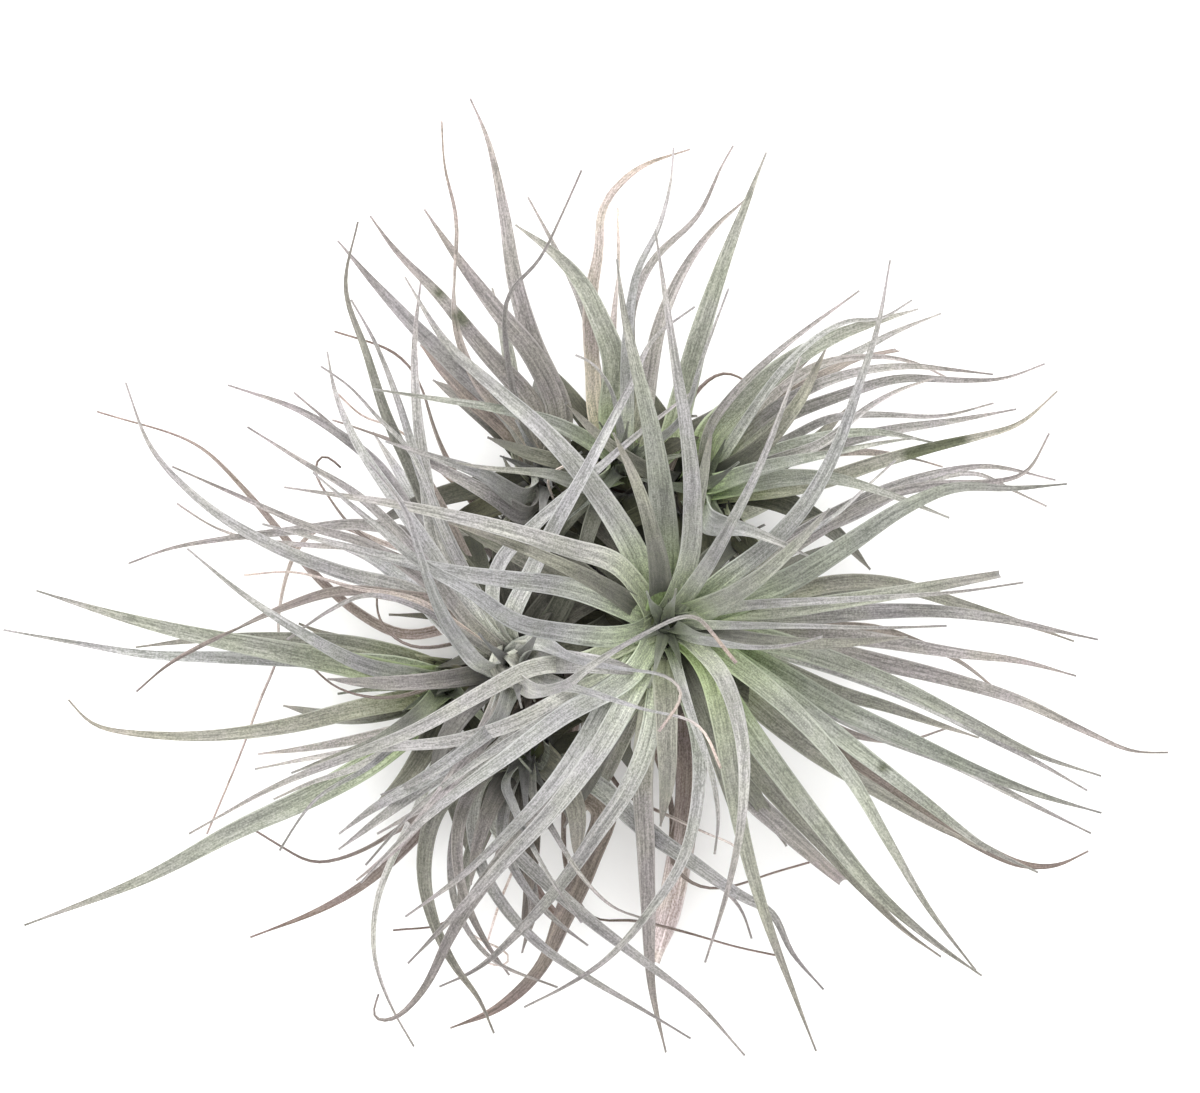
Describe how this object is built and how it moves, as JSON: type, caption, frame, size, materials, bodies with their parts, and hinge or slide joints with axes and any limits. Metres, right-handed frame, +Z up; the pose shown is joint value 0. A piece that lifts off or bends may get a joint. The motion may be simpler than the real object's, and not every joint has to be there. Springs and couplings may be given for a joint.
{
  "type": "air plant",
  "caption": "Clump of silver-green air plant rosettes with long, narrow, arching leaves on a short old stem; rests on the stem's flat foot.",
  "frame": {"origin": "middle of the flat spot under the old stem, on the surface that the plant rests on", "axes": "+Z up; +X and +Y are the right and the top of the clump seen from above; the clump is widest along X"},
  "size_m": [0.3861, 0.3175, 0.2037],
  "materials": {
    "leaf_silver": "matte, felted with pale scales over green",
    "leaf_green": "matte, thinly scaled, greener",
    "dry_stem": "rough, dry, fibrous"
  },
  "bodies": {
    "root": {"rosette_centre": "leaf_silver", "rosette_left": "leaf_silver", "rosette_upper_right": "leaf_green", "rosette_upper": "leaf_green", "rosette_upper_left": "leaf_silver", "rosette_far_left": "leaf_green", "rosette_lower": "leaf_silver", "old_stem": "dry_stem"}
  },
  "joints": []
}
